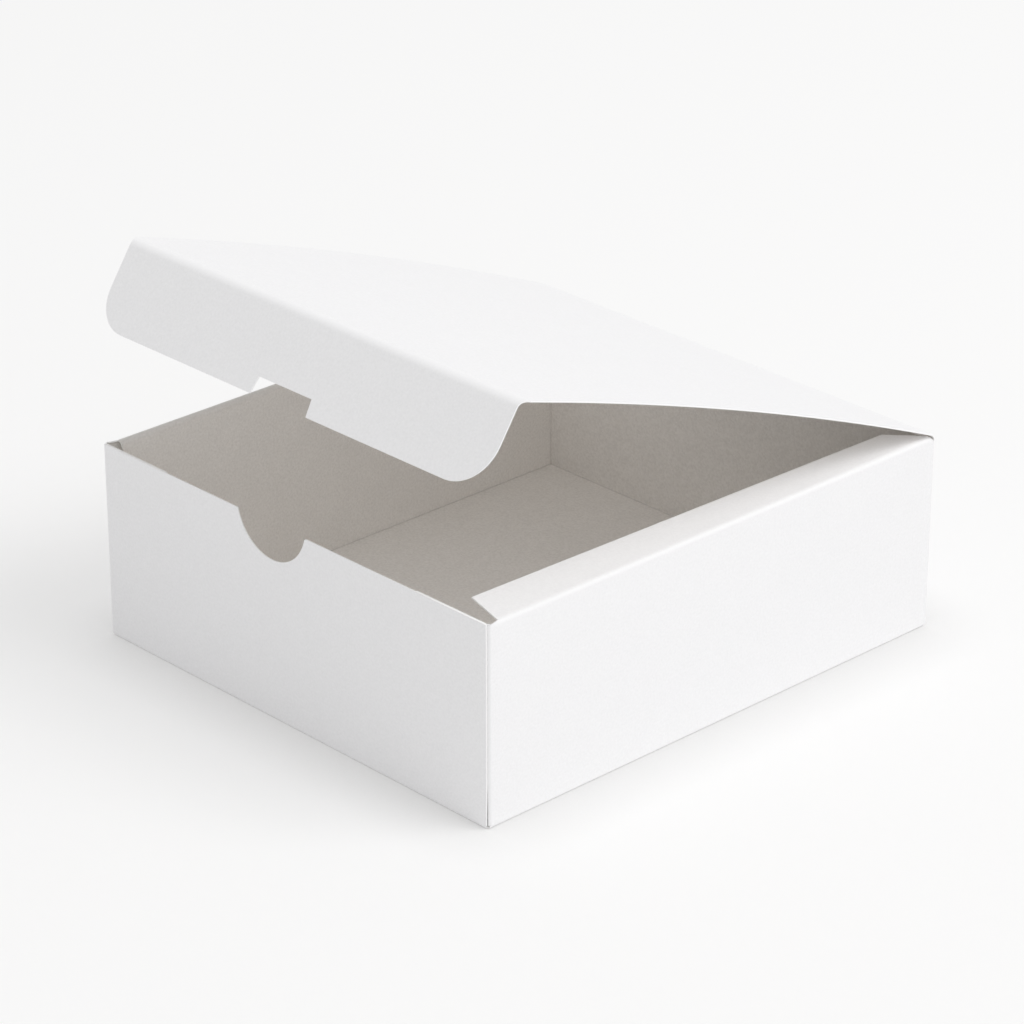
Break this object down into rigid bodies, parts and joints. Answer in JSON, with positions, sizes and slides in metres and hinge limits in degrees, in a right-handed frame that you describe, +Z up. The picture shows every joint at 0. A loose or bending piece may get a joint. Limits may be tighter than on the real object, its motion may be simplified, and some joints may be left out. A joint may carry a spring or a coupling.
{
  "type": "takeaway food box",
  "caption": "Plain white folding carton for takeaway food: glued tray with side flaps, thumb notch, and a hinged lid whose notched flap tucks in at the front.",
  "frame": {"origin": "middle of the tray's underside, on the surface that the box stands on", "axes": "+X across the front from left to right, +Y from the front panel to the back wall, +Z up"},
  "size_m": [0.2006, 0.2223, 0.1503],
  "materials": {
    "board": "smooth uncoated white folding boxboard with fine fibre grain"
  },
  "bodies": {
    "box": {"box_body": "board"},
    "lid": {"lid": "board"},
    "tuck": {"tuck_flap": "board"}
  },
  "joints": [
    {"name": "lid_hinge", "type": "hinge", "parent": "box", "child": "lid", "pos_m": [0, 0.1088, 0.0756], "axis": [1, 0, 0], "range_deg": [-70, 20]},
    {"name": "tuck_fold", "type": "hinge", "parent": "lid", "child": "tuck", "pos_m": [0, -0.09323, 0.14913], "axis": [1, 0, 0], "range_deg": [-100, 29]}
  ],
  "couplings": [
    {"joint": "tuck_fold", "follows": "lid_hinge", "ratio": 1.42}
  ]
}
